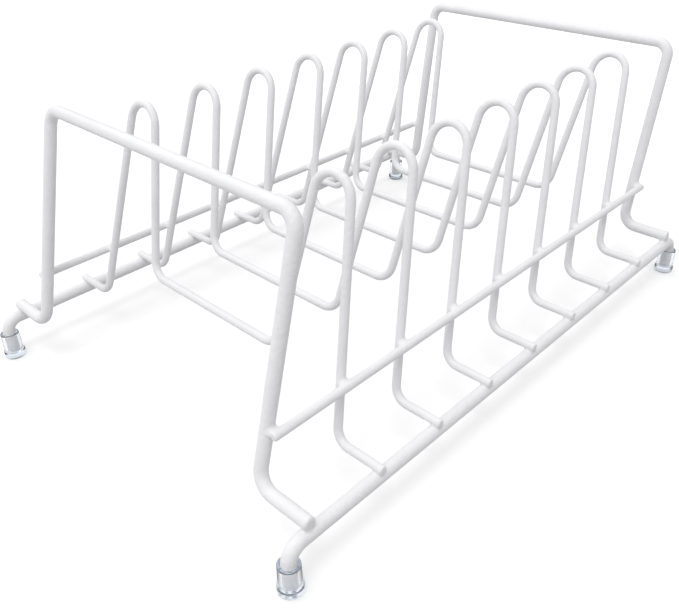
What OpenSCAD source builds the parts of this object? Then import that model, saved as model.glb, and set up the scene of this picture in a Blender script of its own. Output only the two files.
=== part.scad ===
// Free-standing pot lid rack of white coated wire.
// Two heavy rails run along the table on four clear foot caps. Two heavy end
// frames and seven light dividers stand across the rails on turned-out toes,
// all leaning the same way, and a light rod along each side ties them together.
// X runs along the rack, Y across it and Z up. The origin is the middle of the
// footprint on the table. Heights and spacings are taken at wire centre lines
// unless their comment says otherwise.

/* [Base rails] */
// Distance across the rack between the two rails
rail_spacing = 220; // [204:1:250]
// Distance along the rack between the legs of a rail
foot_spacing = 321; // [312:1:350]
// Height of the rails above the table
rail_height = 21.5; // [21:0.5:32]
// Diameter of the rail wire
rail_d = 6.3; // [5:0.1:7.5]
// Bend radius where a rail turns down into its leg
rail_bend_r = 7; // [5:0.5:9]

/* [End frames] */
// Distance along the rack between the toes of the two end frames
frame_span = 300; // [296:1:306]
// Distance across an end frame between its uprights
frame_width = 165.5; // [150:0.5:176]
// Height of the top of the end frames above the table
frame_top = 136; // [115:1:160]
// Diameter of the end frame wire
frame_d = 6; // [5:0.1:7]
// Lean of the left end frame from upright, in degrees
left_frame_angle = 15; // [5:0.5:18]
// Lean of the right end frame from upright, in degrees
right_frame_angle = 9; // [5:0.5:18]
// Bend radius at the top corners of an end frame
frame_corner_r = 7.5; // [6:0.5:16]
// Bend radius where an upright turns out into its toe
frame_toe_bend_r = 8.5; // [7:0.5:14]

/* [Dividers] */
// Distance along the rack from one divider to the next
divider_pitch = 37; // [34:0.5:38]
// Height of the top of the divider loops above the table
divider_top = 132; // [112:1:150]
// Diameter of the divider wire
divider_d = 4; // [3:0.1:5]
// Lean of the dividers from upright, in degrees
divider_angle = 14.5; // [5:0.5:18]
// Bend radius at the top of each loop
loop_r = 10; // [7:0.5:12]
// Slope of the outer legs of the loops towards the middle, in degrees
outer_leg_angle = 8; // [5:0.5:11]
// Slope of the inner legs of the loops, in degrees
inner_leg_angle = 6.5; // [3:0.5:9]
// Height of the cross wire between the two loops above the table
cross_height = 51; // [44:1:60]
// Bend radius between an inner leg and the cross wire
cross_bend_r = 9; // [6:0.5:12]
// Bend radius where an outer leg turns out into its toe
divider_toe_bend_r = 7.5; // [6:0.5:12]

/* [Side rods] */
// Diameter of the side rod wire
rod_d = 4; // [3:0.1:5]
// Height of the side rods above the table
rod_height = 51.5; // [45:0.5:62]
// How far a side rod runs past the end frame uprights
rod_overhang = 1.4; // [1.4:0.2:8]

/* [Welds and wire ends] */
// Depth that two wires sink into each other at a weld
weld_sink = 0.1; // [0.05:0.01:0.2]
// How far an end frame's toe runs past the middle of its rail
frame_toe_overhang = 1.6; // [1.4:0.2:6]
// How far a divider's toe runs past the middle of its rail
divider_toe_overhang = 2.8; // [1.4:0.2:6]
// Radius of the rounded rim at a cut wire end
end_rim_r = 1.1; // [0.4:0.1:1.4]
// How much thinner the bending leaves the wire in a bend
bend_thinning = 0.04; // [0.02:0.01:0.1]
// Length that a straight laps over the end of a bend
bend_lap = 0.1; // [0.05:0.01:0.2]

/* [Foot caps] */
// Height of a foot cap
cap_h = 14.5; // [11:0.1:14.5]
// Outer diameter of a foot cap at its mouth
cap_mouth_d = 9.4; // [8.8:0.1:11]
// Outer diameter of a foot cap where its wall meets its base
cap_wall_d = 10; // [9:0.1:11.5]
// Diameter of the base of a foot cap
cap_base_d = 10.8; // [10:0.1:14]
// Thickness of the base of a foot cap, which the leg stands on
cap_base_h = 4; // [2.5:0.1:5.5]
// Radius of the rounded rims of the base
cap_base_rim_r = 0.8; // [0.4:0.1:1.1]
// Clearance between a leg and the bore of its cap
cap_clearance = 0.1; // [0.05:0.01:0.2]

/* [Hidden] */
$fn = 32;

coating = "whitesmoke";
clear_vinyl = [0.82, 0.86, 0.92, 0.55];

front = -1;
back = 1;
left = -1;
right = 1;

// Dividers are counted from the left, and the middle one stands over the origin
middle_divider = 4;

// The toes of frames and dividers lie on top of the rails
rail_top = rail_height + rail_d / 2;
frame_toe_z = rail_top + frame_d / 2 - weld_sink;
divider_toe_z = rail_top + divider_d / 2 - weld_sink;
frame_toe_end = rail_spacing / 2 + frame_toe_overhang;
divider_toe_end = rail_spacing / 2 + divider_toe_overhang;

// The side rods lie against the outside of the uprights
rod_y = frame_width / 2 + frame_d / 2 + rod_d / 2 - weld_sink;

// Wire paths that lean are drawn in their own plane: across the rack, then
// up the slope from the toe. A height becomes a distance up that slope.
function up_slope(height, toe_z, angle) = (height - toe_z) / cos(angle);

// How far along the rack a leaning upright has moved at a height
function lean_shift(height, toe_z, angle) = (height - toe_z) * tan(angle);

// Outer leg of a loop: a line that passes the side rod at one weld's depth.
// Seen along the rack its slope is steeper than in its own leaning plane.
outer_run = tan(outer_leg_angle);
outer_slope_seen = atan(outer_run * cos(divider_angle));
rod_to_leg = (rod_d / 2 + divider_d / 2 - weld_sink) / cos(outer_slope_seen);
rod_up = up_slope(rod_height, divider_toe_z, divider_angle);
outer_foot_y = rod_y - rod_to_leg + outer_run * rod_up;

// Loop top: an arc of loop_r that the outer and the inner leg both touch
loop_up = up_slope(divider_top - divider_d / 2, divider_toe_z, divider_angle) - loop_r;
loop_y = outer_foot_y - outer_run * loop_up - loop_r / cos(outer_leg_angle);

// Inner leg: its line, where it crosses the outer leg's line, and its foot
inner_run = tan(inner_leg_angle);
inner_base_y = loop_y - loop_r / cos(inner_leg_angle) - inner_run * loop_up;
peak_up = (outer_foot_y - inner_base_y) / (outer_run + inner_run);
peak_y = outer_foot_y - outer_run * peak_up;
cross_up = up_slope(cross_height, divider_toe_z, divider_angle);
cross_y = inner_base_y + inner_run * cross_up;

// Turn of a path at b on the way from a to c, positive to the left
function turn(a, b, c) = let (u = b - a, v = c - b) atan2(u.x * v.y - u.y * v.x, u * v);

// Length that a bend of radius r takes from each of the straights it joins
function setback(r, angle) = r * tan(abs(angle) / 2);

// Unit vector from a to b
function heading(a, b) = (b - a) / norm(b - a);

// Angle of the line from a to b
function bearing(a, b) = atan2(b.y - a.y, b.x - a.x);

// A straight run of wire in the XY plane, from a to b
module wire_straight(a, b, d) {
    translate([a.x, a.y, 0])
        rotate([0, 90, bearing(a, b)])
            cylinder(h = norm(b - a), d = d);
}

// A straight run that starts at a cut end, with its edge rounded to the radius rim
module wire_end(a, b, d, rim) {
    flat = d / 2 - rim;
    translate([a.x, a.y, 0])
        rotate([0, 90, bearing(a, b)])
            rotate_extrude() {
                square([flat, norm(b - a)]);
                translate([0, rim])
                    square([d / 2, norm(b - a) - rim]);
                translate([flat, rim])
                    intersection() {
                        circle(r = rim);
                        translate([0, -rim])
                            square(rim);
                    }
            }
}

// A bend of the wire round the corner b, drawn a little thinner by the bending
module wire_bend(a, b, c, r, d) {
    angle = turn(a, b, c);
    start = b - heading(a, b) * setback(r, angle);
    centre = start + sign(angle) * r * [-heading(a, b).y, heading(a, b).x];
    translate([centre.x, centre.y, 0])
        rotate([0, 0, bearing(centre, start) + min(angle, 0)])
            rotate_extrude(angle = abs(angle))
                translate([r, 0])
                    circle(d = d - bend_thinning);
}

// A wire bent in one plane through the corners of a path. bends holds the
// radius of each inner corner, and rim rounds both cut ends. Each straight
// laps over the ends of the bends beside it.
module bent_wire(path, bends, d, rim) {
    last = len(path) - 1;
    trims = [for (i = [1:last - 1])
        setback(bends[i - 1], turn(path[i - 1], path[i], path[i + 1])) - bend_lap];
    wire_end(path[0], path[1] - heading(path[0], path[1]) * trims[0], d, rim);
    wire_end(path[last], path[last - 1] - heading(path[last], path[last - 1]) * trims[last - 2], d, rim);
    for (i = [1:last - 1])
        wire_bend(path[i - 1], path[i], path[i + 1], bends[i - 1], d);
    for (i = [1:1:last - 2]) {
        along = heading(path[i], path[i + 1]);
        wire_straight(path[i] + along * trims[i - 1], path[i + 1] - along * trims[i], d);
    }
}

// A straight wire along X with both ends cut, from one X to another
module rod(from_x, to_x, d, rim) {
    middle = (from_x + to_x) / 2;
    for (end = [from_x, to_x])
        wire_end([end, 0], [middle, 0], d, rim);
}

// Stands a path drawn in the XY plane across the rack, leaning along it
module lean_across(x, toe_z, angle) {
    translate([x, 0, toe_z])
        rotate([0, angle, 0])
            rotate([90, 0, 90])
                children();
}

// Heavy rail with a short leg bent down at each end
module base_rail(side) {
    leg_x = foot_spacing / 2;
    path = [[-leg_x, cap_base_h], [-leg_x, rail_height], [leg_x, rail_height], [leg_x, cap_base_h]];
    color(coating)
        translate([0, side * rail_spacing / 2, 0])
            rotate([90, 0, 0])
                bent_wire(path, [rail_bend_r, rail_bend_r], rail_d, end_rim_r);
}

// Heavy end frame: toe, upright, top bar, upright, toe
module end_frame(end, angle) {
    y = frame_width / 2;
    top = up_slope(frame_top - frame_d / 2, frame_toe_z, angle);
    path = [[-frame_toe_end, 0], [-y, 0], [-y, top], [y, top], [y, 0], [frame_toe_end, 0]];
    bends = [frame_toe_bend_r, frame_corner_r, frame_corner_r, frame_toe_bend_r];
    color(coating)
        lean_across(end * frame_span / 2, frame_toe_z, angle)
            bent_wire(path, bends, frame_d, end_rim_r);
}

// Light divider: toe, loop, cross wire, loop and toe in one wire
module divider(number) {
    half = [[-divider_toe_end, 0], [-outer_foot_y, 0], [-peak_y, peak_up], [-cross_y, cross_up]];
    path = concat(half, [for (i = [3:-1:0]) [-half[i].x, half[i].y]]);
    bends = [divider_toe_bend_r, loop_r, cross_bend_r, cross_bend_r, loop_r, divider_toe_bend_r];
    color(coating)
        lean_across((number - middle_divider) * divider_pitch, divider_toe_z, divider_angle)
            bent_wire(path, bends, divider_d, end_rim_r);
}

// Light straight rod along the outside of the uprights
module side_rod(side) {
    left_x = -frame_span / 2 + lean_shift(rod_height, frame_toe_z, left_frame_angle) - rod_overhang;
    right_x = frame_span / 2 + lean_shift(rod_height, frame_toe_z, right_frame_angle) + rod_overhang;
    color(coating)
        translate([0, side * rod_y, rod_height])
            rod(left_x, right_x, rod_d, end_rim_r);
}

// Half section of a foot cap: a thick base, a wall that narrows upwards round
// the bore, and a fully rounded lip
module cap_section() {
    base_r = cap_base_d / 2;
    rim = cap_base_rim_r;
    bore_r = rail_d / 2 + cap_clearance;
    lip_r = (cap_mouth_d / 2 - bore_r) / 2;
    square([base_r - rim, cap_base_h]);
    translate([0, rim])
        square([base_r, cap_base_h - 2 * rim]);
    for (y = [rim, cap_base_h - rim])
        translate([base_r - rim, y])
            circle(r = rim);
    polygon([
        [bore_r, cap_base_h - rim],
        [cap_wall_d / 2, cap_base_h - rim],
        [cap_mouth_d / 2, cap_h - lip_r],
        [bore_r, cap_h - lip_r]
    ]);
    translate([bore_r + lip_r, cap_h - lip_r])
        circle(r = lip_r);
}

// Clear cap that a leg of a rail stands in
module foot_cap(end, side) {
    color(clear_vinyl)
        translate([end * foot_spacing / 2, side * rail_spacing / 2, 0])
            rotate_extrude()
                cap_section();
}

module base_rail_front() { base_rail(front); }
module base_rail_back() { base_rail(back); }
module end_frame_left() { end_frame(left, left_frame_angle); }
module end_frame_right() { end_frame(right, right_frame_angle); }
module side_rod_front() { side_rod(front); }
module side_rod_back() { side_rod(back); }
module foot_cap_front_left() { foot_cap(left, front); }
module foot_cap_front_right() { foot_cap(right, front); }
module foot_cap_back_left() { foot_cap(left, back); }
module foot_cap_back_right() { foot_cap(right, back); }

base_rail_front();
base_rail_back();
end_frame_left();
end_frame_right();
divider(1);  // divider_1
divider(2);  // divider_2
divider(3);  // divider_3
divider(4);  // divider_4
divider(5);  // divider_5
divider(6);  // divider_6
divider(7);  // divider_7
side_rod_front();
side_rod_back();
foot_cap_front_left();
foot_cap_front_right();
foot_cap_back_left();
foot_cap_back_right();
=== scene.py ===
import math

import bpy
import numpy as np
from mathutils import Matrix, Vector


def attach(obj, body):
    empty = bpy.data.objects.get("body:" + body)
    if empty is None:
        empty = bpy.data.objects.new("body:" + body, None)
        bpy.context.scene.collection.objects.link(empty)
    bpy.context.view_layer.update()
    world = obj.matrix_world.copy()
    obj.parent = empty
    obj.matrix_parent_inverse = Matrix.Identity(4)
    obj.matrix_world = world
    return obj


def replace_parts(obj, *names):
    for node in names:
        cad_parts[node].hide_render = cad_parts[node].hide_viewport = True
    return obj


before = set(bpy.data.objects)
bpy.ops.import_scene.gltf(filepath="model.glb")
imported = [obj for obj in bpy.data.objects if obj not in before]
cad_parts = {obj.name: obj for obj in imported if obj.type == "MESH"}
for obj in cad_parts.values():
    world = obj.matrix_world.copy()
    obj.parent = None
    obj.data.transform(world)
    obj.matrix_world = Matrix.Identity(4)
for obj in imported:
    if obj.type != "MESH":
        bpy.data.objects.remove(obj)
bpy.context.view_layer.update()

MM = 0.001

# Base rails
rail_spacing = 220
foot_spacing = 321
rail_height = 21.5
rail_d = 6.3
rail_bend_r = 7

# End frames
frame_span = 300
frame_width = 165.5
frame_top = 136
frame_d = 6
frame_angle = {"left": 15, "right": 9}
frame_corner_r = 7.5
frame_toe_bend_r = 8.5

# Dividers
divider_count = 7
divider_pitch = 37
divider_top = 132
divider_d = 4
divider_angle = 14.5
loop_r = 10
outer_leg_angle = 8
inner_leg_angle = 6.5
cross_height = 51
cross_bend_r = 9
divider_toe_bend_r = 7.5

# Side rods
rod_d = 4
rod_height = 51.5
rod_overhang = 1.4

# Welds, and cut ends that are rounded by a share of the wire's diameter
weld_sink = 0.1
frame_toe_overhang = 1.6
divider_toe_overhang = 2.8
end_rim_share = 0.22

# Coating gathered at the welds: radii, the height over which the one above a rod fades to the one
# under it, how deep it lies in the wires elsewhere, and how far it reaches from a joint
toe_fillet = 1.6
rod_fillet = 2.6
rod_under_fillet = 0.05
fillet_fade = 1.6
fillet_sink = 0.025
fillet_reach = 5

# Foot caps
cap_h = 14.5
cap_mouth_d = 9.4
cap_wall_d = 10
cap_base_d = 10.8
cap_base_h = 4
cap_base_rim_r = 0.8
cap_clearance = 0.1
cap_lip_r = 0.6
cap_bore_lip_r = 0.25
cap_step_r = 1.2

# Fineness of the meshes, with angles in degrees
wire_sides = 28
bend_step = 6
straight_step = 9
rim_steps = 6
end_ring_share = 0.55
cap_sides = 96
arc_steps = 5
support_gap = 0.06
supported_length = 0.24

# Net of a fillet: its grid, and how its points settle on the surface
fillet_step = 0.26
fillet_spare_steps = 4
settle_rounds = 3
settle_probe = 0.01
least_slope = 0.5

# Floor
floor_size = 6000
floor_gap = 0.02

# Soft light of the room: its level, and what a direction adds to it along each axis
soft_level = 0.72
soft_gain = (-0.15, 0.32, 0.3)

# Lamp, with its power in watts
lamp_place = (-860, -400, 2150)
lamp_size = 1000
lamp_power = 13

# Camera, with angles in radians, and the near and far ends of its view in metres
camera_place = (-275.13, -251.88, 242.80)
camera_yaw = 0.7771
camera_pitch = 0.5711
camera_roll = 0.0237
focal_pixels = 755.53
picture_width = 679
sensor_width = 36
clip_start = 0.01
clip_end = 20

# Sides and ends of the part, and the way each lies along its axis
sides = ("front", "back")
ends = ("left", "right")
side_of = {"front": -1, "back": 1, "left": -1, "right": 1}

# Worked out from the sizes above
rail_top = rail_height + rail_d / 2
frame_toe_z = rail_top + frame_d / 2 - weld_sink
divider_toe_z = rail_top + divider_d / 2 - weld_sink
frame_toe_end = rail_spacing / 2 + frame_toe_overhang
divider_toe_end = rail_spacing / 2 + divider_toe_overhang
rod_y = frame_width / 2 + frame_d / 2 + rod_d / 2 - weld_sink
divider_numbers = range(1, divider_count + 1)
middle_divider = (divider_count + 1) / 2


def divider_x(number):
    """Where the toes of a divider are along the rack."""
    return (number - middle_divider) * divider_pitch


def frame_x(end, height):
    """Where the line of an end frame is at a height above the floor."""
    slope = math.tan(math.radians(frame_angle[end]))
    return side_of[end] * frame_span / 2 + (height - frame_toe_z) * slope


def leaning(degrees):
    """The axes of a plane that holds Y and leans by so many degrees from upright towards +X."""
    angle = math.radians(degrees)
    return (0, 1, 0), (math.sin(angle), 0, math.cos(angle))


# Meshes

def make_mesh(name, points, faces, material):
    """A piece of the part, shaded smooth, from points in millimetres."""
    mesh = bpy.data.meshes.new(name)
    mesh.from_pydata([Vector(point) * MM for point in points], [], faces)
    mesh.update()
    mesh.polygons.foreach_set("use_smooth", [True] * len(mesh.polygons))
    mesh.materials.append(material)
    piece = bpy.data.objects.new(name, mesh)
    bpy.context.scene.collection.objects.link(piece)
    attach(piece, "root")
    return piece


def round_angles(count):
    """The angles of the corners of a ring."""
    return [2 * math.pi * step / count for step in range(count)]


def band(lower, upper):
    """The faces between two rings of point numbers, where a ring can repeat a single point."""
    corners = zip(lower, lower[1:] + lower[:1], upper[1:] + upper[:1], upper)
    return [tuple(dict.fromkeys(face)) for face in corners]


# Wires

def turned(vector, angle):
    """A vector in the plane of a wire, turned by an angle in radians."""
    cosine, sine = math.cos(angle), math.sin(angle)
    x, y = vector
    return np.array([cosine * x - sine * y, sine * x + cosine * y])


def add_straight(points, headings, end, heading):
    """Adds the points and headings of a straight stretch from the last point to end."""
    start = points[-1]
    steps = math.ceil(np.linalg.norm(end - start) / straight_step)
    for step in range(1, steps + 1):
        points.append(start + (end - start) * step / steps)
        headings.append(heading)


def bent_line(corners, radii):
    """Points and headings along straights joined by arcs, in the plane of the wire."""
    corners = [np.array(corner, float) for corner in corners]
    points = [corners[0]]
    headings = []
    for before, corner, after, radius in zip(corners, corners[1:], corners[2:], radii):
        into = (corner - before) / np.linalg.norm(corner - before)
        onward = (after - corner) / np.linalg.norm(after - corner)
        turn = math.atan2(into[0] * onward[1] - into[1] * onward[0], into @ onward)
        start = corner - into * radius * math.tan(abs(turn) / 2)
        to_centre = np.array([-into[1], into[0]]) * math.copysign(radius, turn)
        centre = start + to_centre
        add_straight(points, headings, start, into)
        steps = math.ceil(abs(math.degrees(turn)) / bend_step)
        for step in range(1, steps + 1):
            angle = turn * step / steps
            points.append(centre - turned(to_centre, angle))
            headings.append(turned(into, angle))
    last = corners[-1] - points[-1]
    add_straight(points, headings, corners[-1], last / np.linalg.norm(last))
    return points, [headings[0]] + headings


def cut_end(point, heading, way, diameter):
    """Rings of a cut end as point, heading and radius: one on the flat, then those round the rim.

    The rim runs back from the cut along the heading where way is 1, and against it where it is -1.
    """
    rim_r = diameter * end_rim_share
    flat_r = diameter / 2 - rim_r
    rings = [(point, heading, flat_r * end_ring_share)]
    for step in range(rim_steps + 1):
        angle = math.pi / 2 * step / rim_steps
        inset = rim_r * (1 - math.cos(angle))
        rings.append((point + way * heading * inset, heading, flat_r + rim_r * math.sin(angle)))
    return rings


def wire(name, corners, radii, diameter, across, up, origin):
    """A round wire with rounded cut ends, which replaces the node of that name.

    Its corners are drawn along the axes across and up from origin.
    """
    points, headings = bent_line(corners, radii)
    across, up, origin = np.array(across, float), np.array(up, float), np.array(origin, float)
    normal = np.cross(across, up)
    stations = cut_end(points[0], headings[0], 1, diameter)
    stations += [
        (point, heading, diameter / 2) for point, heading in zip(points[1:-1], headings[1:-1])]
    stations += cut_end(points[-1], headings[-1], -1, diameter)[::-1]
    vertices = []
    for point, heading, radius in stations:
        middle = origin + across * point[0] + up * point[1]
        along = across * heading[0] + up * heading[1]
        side = np.cross(along, normal)
        for angle in round_angles(wire_sides):
            vertices.append(middle + radius * (math.cos(angle) * normal + math.sin(angle) * side))
    rings = [
        list(range(first, first + wire_sides))
        for first in range(0, len(vertices), wire_sides)]
    faces = [tuple(rings[0][::-1])]
    for lower, upper in zip(rings, rings[1:]):
        faces += band(lower, upper)
    faces.append(tuple(rings[-1]))
    piece = make_mesh(name + "_wire", vertices, faces, coating)
    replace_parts(piece, name)


# Round solids as distances, for the coating that gathers at the welds

def straight_distance(places, point, heading):
    """How far places are from a line through point, and how far along it from point."""
    away = places - point
    along = away @ heading
    return np.linalg.norm(away - along[..., None] * heading, axis=-1), along


def long_wire(point, heading, diameter):
    """A straight wire without ends."""
    point, heading = np.array(point, float), np.array(heading, float)
    heading = heading / np.linalg.norm(heading)
    return lambda places: straight_distance(places, point, heading)[0] - diameter / 2


def cut_wire(end, heading, diameter):
    """A wire that comes along heading and is cut off at end, rounded like the swept wires."""
    end, heading = np.array(end, float), np.array(heading, float)
    heading = heading / np.linalg.norm(heading)
    rim_r = diameter * end_rim_share

    def distance(places):
        from_line, along = straight_distance(places, end, heading)
        aside = from_line - (diameter / 2 - rim_r)
        past = along + rim_r
        outside = np.hypot(np.maximum(aside, 0), np.maximum(past, 0))
        return outside + np.minimum(np.maximum(aside, past), 0) - rim_r
    return distance


def fillet(first, second, centre, radius, under):
    """Both wires with the crease between them filled, a hair inside them elsewhere, in a ball.

    The ball is round centre. The fill has its radius from centre upwards, and the radius under
    from fillet_fade below centre downwards.
    """
    centre = np.array(centre, float)

    def distance(places):
        to_first, to_second = first(places), second(places)
        share = np.clip((places[..., 2] - centre[2]) / fillet_fade + 1, 0, 1)
        fill_r = under + (radius - under) * share
        filled = np.maximum(fill_r, np.minimum(to_first, to_second))
        filled = filled - np.hypot(
            np.maximum(fill_r - to_first, 0), np.maximum(fill_r - to_second, 0))
        past_ball = np.linalg.norm(places - centre, axis=-1) - fillet_reach
        return np.maximum(filled + fillet_sink, past_ball)
    return distance, centre


def crossings(values, way):
    """The grid's edges along one axis that cross the surface.

    Their first ends, the places where they cross it, and whether they lead out of the solid.
    """
    low = [slice(None)] * 3
    high = [slice(None)] * 3
    low[way] = slice(0, -1)
    high[way] = slice(1, None)
    near, far = values[tuple(low)], values[tuple(high)]
    starts = np.argwhere((near < 0) != (far < 0))
    here = near[tuple(starts.T)]
    there = far[tuple(starts.T)]
    places = starts.astype(float)
    places[:, way] += here / (here - there)
    return starts, places, here < 0


def surface_net(distance, centre):
    """A closed quad mesh of where distance is 0, inside the cube that holds the ball round centre.

    Each cell of a grid that the surface passes through gets a point, the mean of its crossings.
    Each edge of the grid that crosses the surface gets a face between the four cells round it.
    """
    count = math.ceil(2 * fillet_reach / fillet_step) + fillet_spare_steps
    corner = centre - fillet_step * (count - 1) / 2
    axis = np.arange(count)
    grid = np.stack(np.meshgrid(axis, axis, axis, indexing="ij"), -1).astype(float)
    values = distance(corner + grid * fillet_step)
    total = np.zeros((count - 1,) * 3 + (3,))
    hits = np.zeros((count - 1,) * 3)
    edges = []
    for way in range(3):
        starts, places, outward = crossings(values, way)
        around = []
        for down_second, down_third in ((1, 1), (0, 1), (0, 0), (1, 0)):
            cell = starts.copy()
            cell[:, (way + 1) % 3] -= down_second
            cell[:, (way + 2) % 3] -= down_third
            np.add.at(total, tuple(cell.T), places)
            np.add.at(hits, tuple(cell.T), 1)
            around.append(cell)
        edges.append((around, outward))
    used = hits > 0
    number = -np.ones(hits.shape, int)
    number[used] = np.arange(used.sum())
    points = corner + total[used] / hits[used][:, None] * fillet_step
    faces = []
    for around, outward in edges:
        quads = np.stack([number[tuple(cell.T)] for cell in around], -1)
        quads[~outward] = quads[~outward][:, ::-1]
        faces += [tuple(int(point) for point in quad) for quad in quads]
    return settle(points, distance), faces


def settle(points, distance):
    """Moves the points of a net onto the surface that it follows."""
    for _ in range(settle_rounds):
        slope = np.stack([
            (distance(points + settle_probe * axis) - distance(points - settle_probe * axis))
            / (2 * settle_probe)
            for axis in np.eye(3)], -1)
        steepness = np.maximum((slope ** 2).sum(-1), least_slope ** 2)
        shift = -distance(points)[:, None] * slope / steepness[:, None]
        points = points + np.clip(shift, -fillet_step / 2, fillet_step / 2)
    return points


def fillets(name, joints):
    """One piece with the coating of several joints, each given by what fillet asks for."""
    points, faces = [], []
    for joint in joints:
        net, quads = surface_net(*fillet(*joint))
        faces += [tuple(point + len(points) for point in quad) for quad in quads]
        points += list(net)
    make_mesh(name, points, faces, coating)


# Nodes that the materials and the world share

def set_values(node, values):
    """Puts constants on the inputs of a node, and gives the node back."""
    for socket, value in values.items():
        node.inputs[socket].default_value = value
    return node


def calculate(tree, operation, first, second):
    """The output of a Math node on two outputs."""
    node = tree.nodes.new("ShaderNodeMath")
    node.operation = operation
    tree.links.new(first, node.inputs[0])
    tree.links.new(second, node.inputs[1])
    return node.outputs[0]


def remap(tree, value, to_range, from_range=(0, 1), curve="LINEAR"):
    """The value brought from one range to another, and kept inside it."""
    node = tree.nodes.new("ShaderNodeMapRange")
    node.interpolation_type = curve
    set_values(node, {
        "From Min": from_range[0], "From Max": from_range[1],
        "To Min": to_range[0], "To Max": to_range[1]})
    tree.links.new(value, node.inputs["Value"])
    return node.outputs["Result"]


def is_ray(tree, *kinds):
    """1 for rays of any of these kinds, as the Light Path node calls them, and 0 for others."""
    path = tree.nodes.new("ShaderNodeLightPath")
    found = path.outputs[kinds[0]]
    for kind in kinds[1:]:
        found = calculate(tree, "MAXIMUM", found, path.outputs[kind])
    return found


def mix_shaders(tree, factor, first, second):
    """The first shader where the factor is 0 and the second where it is 1."""
    node = tree.nodes.new("ShaderNodeMixShader")
    for socket, output in zip(node.inputs, (factor, first, second)):
        tree.links.new(output, socket)
    return node.outputs[0]


# Materials

def new_material(name):
    """A new material and its node tree."""
    material = bpy.data.materials.new(name)
    material.use_nodes = True
    return material, material.node_tree


def make_uneven(tree, shader, noise, tones, roughness):
    """Varies the shader's colour and roughness by one noise.

    The tones are two pairs of a level of the noise and the colour there. What comes back is the
    place on the part, for more noise.
    """
    place = tree.nodes.new("ShaderNodeTexCoord").outputs["Object"]
    unevenness = set_values(tree.nodes.new("ShaderNodeTexNoise"), noise)
    ramp = tree.nodes.new("ShaderNodeValToRGB")
    for stop, (level, colour) in zip(ramp.color_ramp.elements, tones):
        stop.position = level
        stop.color = colour
    tree.links.new(place, unevenness.inputs["Vector"])
    tree.links.new(unevenness.outputs["Fac"], ramp.inputs["Fac"])
    tree.links.new(ramp.outputs["Color"], shader.inputs["Base Color"])
    tree.links.new(remap(tree, unevenness.outputs["Fac"], roughness), shader.inputs["Roughness"])
    return place


def make_coating():
    """White epoxy coating: satin, very slightly uneven in tone, gloss and surface."""
    material, tree = new_material("white_coating")
    shader = set_values(tree.nodes["Principled BSDF"], {"IOR": 1.45, "Specular IOR Level": 0.25})
    place = make_uneven(
        tree, shader, {"Scale": 55, "Detail": 3},
        [(0.3, (0.835, 0.835, 0.845, 1)), (0.7, (0.875, 0.875, 0.885, 1))],
        (0.34, 0.46))
    peel = set_values(tree.nodes.new("ShaderNodeTexNoise"), {"Scale": 520, "Detail": 1.5})
    bump = set_values(tree.nodes.new("ShaderNodeBump"), {"Strength": 1, "Distance": 0.00027})
    tree.links.new(place, peel.inputs["Vector"])
    tree.links.new(peel.outputs["Fac"], bump.inputs["Height"])
    tree.links.new(bump.outputs["Normal"], shader.inputs["Normal"])
    return material


def make_vinyl():
    """Clear soft vinyl with a slightly cloudy surface, which is bluer the thicker it is.

    Light that only casts shadows goes straight through, a little dimmed.
    """
    material, tree = new_material("clear_vinyl")
    output = tree.nodes["Material Output"]
    shader = set_values(tree.nodes["Principled BSDF"], {"IOR": 1.5, "Transmission Weight": 1})
    make_uneven(
        tree, shader, {"Scale": 160, "Detail": 2},
        [(0, (0.95, 0.96, 0.97, 1)), (1, (0.98, 0.985, 0.99, 1))],
        (0.04, 0.12))
    soak = set_values(
        tree.nodes.new("ShaderNodeVolumeAbsorption"),
        {"Color": (0.43, 0.56, 0.72, 1), "Density": 38})
    let_through = set_values(
        tree.nodes.new("ShaderNodeBsdfTransparent"), {"Color": (0.88, 0.885, 0.90, 1)})
    surface = mix_shaders(
        tree, is_ray(tree, "Is Shadow Ray"), shader.outputs[0], let_through.outputs[0])
    tree.links.new(surface, output.inputs["Surface"])
    tree.links.new(soak.outputs[0], output.inputs["Volume"])
    return material


def make_floor_paint():
    """White to the camera, greyer to the light that goes back up, and lifted to white far out."""
    material, tree = new_material("floor")
    tree.nodes.remove(tree.nodes["Principled BSDF"])
    direct = is_ray(tree, "Is Camera Ray", "Is Glossy Ray", "Is Transmission Ray")
    paint = tree.nodes.new("ShaderNodeMix")
    paint.data_type = "RGBA"
    set_values(paint, {"A": (0.44, 0.44, 0.445, 1), "B": (0.80, 0.80, 0.80, 1)})
    matt = tree.nodes.new("ShaderNodeBsdfDiffuse")
    place = tree.nodes.new("ShaderNodeTexCoord").outputs["Object"]
    away = tree.nodes.new("ShaderNodeVectorMath")
    away.operation = "LENGTH"
    glow = tree.nodes.new("ShaderNodeEmission")
    both = tree.nodes.new("ShaderNodeAddShader")
    tree.links.new(direct, paint.inputs["Factor"])
    tree.links.new(paint.outputs["Result"], matt.inputs["Color"])
    tree.links.new(place, away.inputs[0])
    lift = remap(tree, away.outputs["Value"], (0.235, 0.6), (0.22, 0.75), "SMOOTHSTEP")
    tree.links.new(calculate(tree, "MULTIPLY", direct, lift), glow.inputs["Strength"])
    tree.links.new(matt.outputs[0], both.inputs[0])
    tree.links.new(glow.outputs[0], both.inputs[1])
    tree.links.new(both.outputs[0], tree.nodes["Material Output"].inputs["Surface"])
    return material


coating = make_coating()
vinyl = make_vinyl()


# Base rails: the short legs go down into the foot caps

leg_x = foot_spacing / 2
rail_corners = [
    (-leg_x, cap_base_h), (-leg_x, rail_height), (leg_x, rail_height), (leg_x, cap_base_h)]
for side in sides:
    wire(
        "base_rail_" + side, rail_corners, [rail_bend_r, rail_bend_r],
        rail_d, (1, 0, 0), (0, 0, 1), (0, side_of[side] * rail_spacing / 2, 0))


# End frames: toe, upright, top bar, upright, toe

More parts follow.
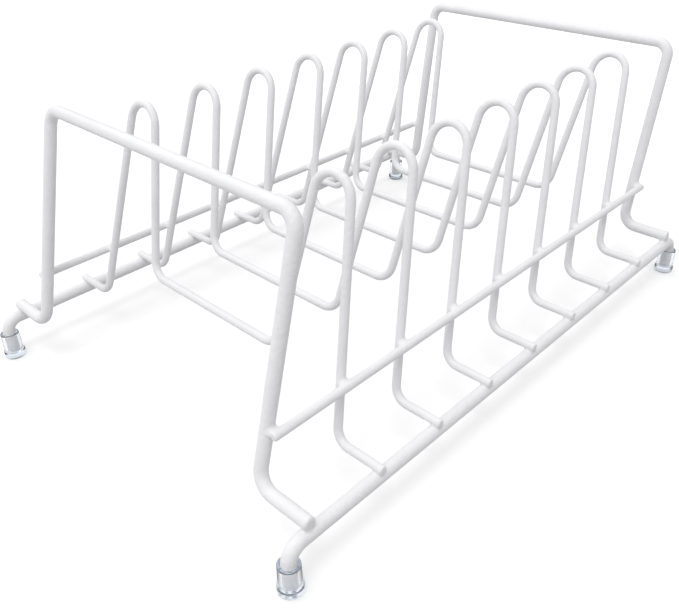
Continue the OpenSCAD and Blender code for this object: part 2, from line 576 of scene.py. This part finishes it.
upright_y = frame_width / 2
for end, lean in frame_angle.items():
    top_line = (frame_top - frame_d / 2 - frame_toe_z) / math.cos(math.radians(lean))
    wire(
        "end_frame_" + end,
        [(-frame_toe_end, 0), (-upright_y, 0), (-upright_y, top_line),
         (upright_y, top_line), (upright_y, 0), (frame_toe_end, 0)],
        [frame_toe_bend_r, frame_corner_r, frame_corner_r, frame_toe_bend_r],
        frame_d, *leaning(lean), (frame_x(end, frame_toe_z), 0, frame_toe_z))


# Dividers: each half goes toe, outer leg, loop, inner leg, and the cross wire joins the halves.
# A name that ends in line is a length up the leaning plane from the toes.

lean_cos = math.cos(math.radians(divider_angle))
lean_sin = math.sin(math.radians(divider_angle))
outer_slope = math.tan(math.radians(outer_leg_angle))
inner_slope = math.tan(math.radians(inner_leg_angle))
seen_slope = math.atan(outer_slope * lean_cos)
rod_line = (rod_height - divider_toe_z) / lean_cos
cross_line = (cross_height - divider_toe_z) / lean_cos
loop_line = (divider_top - divider_d / 2 - divider_toe_z) / lean_cos - loop_r
leg_y_at_rod = rod_y - (rod_d / 2 + divider_d / 2 - weld_sink) / math.cos(seen_slope)
outer_foot_y = leg_y_at_rod + outer_slope * rod_line
loop_y = outer_foot_y - outer_slope * loop_line - loop_r / math.cos(math.radians(outer_leg_angle))
inner_foot_y = loop_y - loop_r / math.cos(math.radians(inner_leg_angle)) - inner_slope * loop_line
peak_line = (outer_foot_y - inner_foot_y) / (outer_slope + inner_slope)
peak_y = outer_foot_y - outer_slope * peak_line
cross_y = inner_foot_y + inner_slope * cross_line

half_divider = [
    (-divider_toe_end, 0), (-outer_foot_y, 0), (-peak_y, peak_line), (-cross_y, cross_line)]
whole_divider = half_divider + [(-y, line) for y, line in half_divider[::-1]]
half_bends = [divider_toe_bend_r, loop_r, cross_bend_r]
for number in divider_numbers:
    wire(
        "divider_%d" % number, whole_divider, half_bends + half_bends[::-1],
        divider_d, *leaning(divider_angle), (divider_x(number), 0, divider_toe_z))


# Side rods: they end a little past the uprights

rod_end_x = {end: frame_x(end, rod_height) + side_of[end] * rod_overhang for end in ends}
for side in sides:
    wire(
        "side_rod_" + side, [(rod_end_x["left"], 0), (rod_end_x["right"], 0)], [],
        rod_d, (1, 0, 0), (0, 0, 1), (0, side_of[side] * rod_y, rod_height))


# Coating gathered at the welds, as what fillet asks for

def toe_joints(side):
    """Where the toes of the dividers and the end frames rest on a rail."""
    out = side_of[side]
    rail = long_wire((0, out * rail_spacing / 2, rail_height), (1, 0, 0), rail_d)
    toes = [(divider_x(n), divider_toe_end, divider_toe_z, divider_d) for n in divider_numbers]
    toes += [(frame_x(end, frame_toe_z), frame_toe_end, frame_toe_z, frame_d) for end in ends]
    joints = []
    for x, y, z, diameter in toes:
        toe = cut_wire((x, out * y, z), (0, out, 0), diameter)
        middle = (x, out * rail_spacing / 2, rail_top)
        joints.append((rail, toe, middle, toe_fillet, toe_fillet))
    return joints


def rod_joints(side):
    """Where a side rod passes the dividers' outer legs and ends on the uprights."""
    out = side_of[side]
    rod = long_wire((0, out * rod_y, rod_height), (1, 0, 0), rod_d)
    leg_heading = (lean_sin, -out * outer_slope, lean_cos)
    meetings = []
    for number in divider_numbers:
        x = divider_x(number) + rod_line * lean_sin
        leg = long_wire((x, out * leg_y_at_rod, rod_height), leg_heading, divider_d)
        meetings.append((rod, leg, x))
    for end, lean in frame_angle.items():
        x = frame_x(end, rod_height)
        upright = long_wire((x, out * upright_y, rod_height), leaning(lean)[1], frame_d)
        stub = cut_wire((rod_end_x[end], out * rod_y, rod_height), (side_of[end], 0, 0), rod_d)
        meetings.append((stub, upright, x))
    return [
        (along, upward, (x, out * (rod_y - rod_d / 2), rod_height), rod_fillet, rod_under_fillet)
        for along, upward, x in meetings]


for side in sides:
    fillets("toe_welds_" + side, toe_joints(side))
    fillets("rod_welds_" + side, rod_joints(side))


# Foot caps: a stepped base, a wall that narrows to the mouth, and a blind bore for the rail's leg

def arc(centre_r, centre_z, radius, start, end):
    """Points of an arc in the section of a cap, between two angles in degrees."""
    points = []
    for step in range(arc_steps + 1):
        angle = math.radians(start + (end - start) * step / arc_steps)
        points.append((centre_r + radius * math.cos(angle), centre_z + radius * math.sin(angle)))
    return points


def cap_outline():
    """Radius and height round the section, from the middle of the foot to the bore's floor."""
    base_r = cap_base_d / 2
    bore_r = rail_d / 2 + cap_clearance
    step_turn = math.degrees(math.acos(1 - (cap_base_d - cap_wall_d) / 2 / cap_step_r))
    outline = [(0, 0)]
    outline += arc(base_r - cap_base_rim_r, cap_base_rim_r, cap_base_rim_r, -90, 0)
    outline += arc(base_r - cap_step_r, cap_base_h - cap_step_r, cap_step_r, 0, step_turn)
    outline += arc(cap_mouth_d / 2 - cap_lip_r, cap_h - cap_lip_r, cap_lip_r, 0, 90)
    outline += arc(bore_r + cap_bore_lip_r, cap_h - cap_bore_lip_r, cap_bore_lip_r, 90, 180)
    outline += [(bore_r, cap_base_h), (0, cap_base_h)]
    return with_supports(outline)


def with_supports(outline):
    """The outline with a point close to each end of its long lines, to shade them straight."""
    supported = [outline[0]]
    for (r1, z1), (r2, z2) in zip(outline, outline[1:]):
        length = math.hypot(r2 - r1, z2 - z1)
        if length > supported_length:
            for part in (support_gap / length, 1 - support_gap / length):
                supported.append((r1 + (r2 - r1) * part, z1 + (z2 - z1) * part))
        supported.append((r2, z2))
    return supported


def lathe(name, outline, centre):
    """A cap with this outline, turned about the upright line through centre."""
    points, faces, rings = [], [], []
    for r, z in outline:
        first = len(points)
        if r == 0:
            points.append((centre[0], centre[1], z))
            rings.append([first] * cap_sides)
        else:
            points += [
                (centre[0] + r * math.cos(angle), centre[1] + r * math.sin(angle), z)
                for angle in round_angles(cap_sides)]
            rings.append(list(range(first, first + cap_sides)))
    for lower, upper in zip(rings, rings[1:]):
        faces += band(lower, upper)
    return make_mesh(name, points, faces, vinyl)


for side in sides:
    for end in ends:
        centre = (side_of[end] * foot_spacing / 2, side_of[side] * rail_spacing / 2)
        name = "foot_cap_%s_%s" % (side, end)
        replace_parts(lathe(name + "_vinyl", cap_outline(), centre), name)


# Surroundings

def lay_floor():
    """A large square, a hair below the part."""
    half = floor_size / 2 * MM
    below = -floor_gap * MM
    floor_mesh = bpy.data.meshes.new("floor")
    floor_mesh.from_pydata(
        [(x, y, below) for x, y in ((-half, -half), (half, -half), (half, half), (-half, half))],
        [], [(0, 1, 2, 3)])
    floor_mesh.materials.append(make_floor_paint())
    floor = bpy.data.objects.new("floor", floor_mesh)
    bpy.context.scene.collection.objects.link(floor)


def light_room():
    """White to the camera, and a room with dark walls in the gloss and the clear plastic.

    Everything matt gets a soft light that is stronger from above and the back left.
    """
    world = bpy.data.worlds.new("studio")
    bpy.context.scene.world = world
    world.use_nodes = True
    tree = world.node_tree
    white = set_values(tree.nodes["Background"], {"Color": (1, 1, 1, 1), "Strength": 1})
    room = set_values(tree.nodes.new("ShaderNodeBackground"), {"Color": (0.993, 0.992, 1, 1)})
    direction = tree.nodes.new("ShaderNodeTexCoord").outputs["Generated"]
    gain = set_values(tree.nodes.new("ShaderNodeVectorMath"), {1: soft_gain})
    gain.operation = "DOT_PRODUCT"
    soft = set_values(tree.nodes.new("ShaderNodeMath"), {1: soft_level})
    soft.operation = "ADD"
    parts = tree.nodes.new("ShaderNodeSeparateXYZ")
    level = tree.nodes.new("ShaderNodeMix")
    tree.links.new(direction, gain.inputs[0])
    tree.links.new(gain.outputs["Value"], soft.inputs[0])
    tree.links.new(direction, parts.inputs[0])
    walls = remap(tree, parts.outputs["Z"], (0.04, 1.15), (0.25, 0.62), "SMOOTHSTEP")
    tree.links.new(is_ray(tree, "Is Glossy Ray", "Is Transmission Ray"), level.inputs["Factor"])
    tree.links.new(soft.outputs[0], level.inputs["A"])
    tree.links.new(walls, level.inputs["B"])
    tree.links.new(level.outputs["Result"], room.inputs["Strength"])
    background = mix_shaders(
        tree, is_ray(tree, "Is Camera Ray"), room.outputs[0], white.outputs[0])
    tree.links.new(background, tree.nodes["World Output"].inputs["Surface"])


def hang_lamp():
    """A large round lamp that shines at the part's origin."""
    lamp = bpy.data.lights.new("top_light", "AREA")
    lamp.shape = "DISK"
    lamp.size = lamp_size * MM
    lamp.energy = lamp_power
    holder = bpy.data.objects.new("top_light", lamp)
    holder.location = Vector(lamp_place) * MM
    holder.rotation_euler = (-Vector(lamp_place)).to_track_quat("-Z", "Y").to_euler()
    bpy.context.scene.collection.objects.link(holder)


def place_camera():
    """The camera that took the photograph, as far as it could be worked out."""
    ahead = Vector((
        math.cos(camera_pitch) * math.cos(camera_yaw),
        math.cos(camera_pitch) * math.sin(camera_yaw),
        -math.sin(camera_pitch)))
    level_right = Vector((math.sin(camera_yaw), -math.cos(camera_yaw), 0))
    level_down = ahead.cross(level_right)
    right = level_right * math.cos(camera_roll) + level_down * math.sin(camera_roll)
    down = level_down * math.cos(camera_roll) - level_right * math.sin(camera_roll)
    camera_data = bpy.data.cameras.new("camera")
    camera_data.sensor_width = sensor_width
    camera_data.lens = focal_pixels * sensor_width / picture_width
    camera_data.clip_start = clip_start
    camera_data.clip_end = clip_end
    camera = bpy.data.objects.new("camera", camera_data)
    axes = Matrix((right, -down, -ahead)).transposed()
    camera.matrix_world = Matrix.Translation(Vector(camera_place) * MM) @ axes.to_4x4()
    bpy.context.scene.collection.objects.link(camera)
    bpy.context.scene.camera = camera


lay_floor()
light_room()
hang_lamp()
place_camera()
bpy.context.scene.view_settings.view_transform = "Standard"
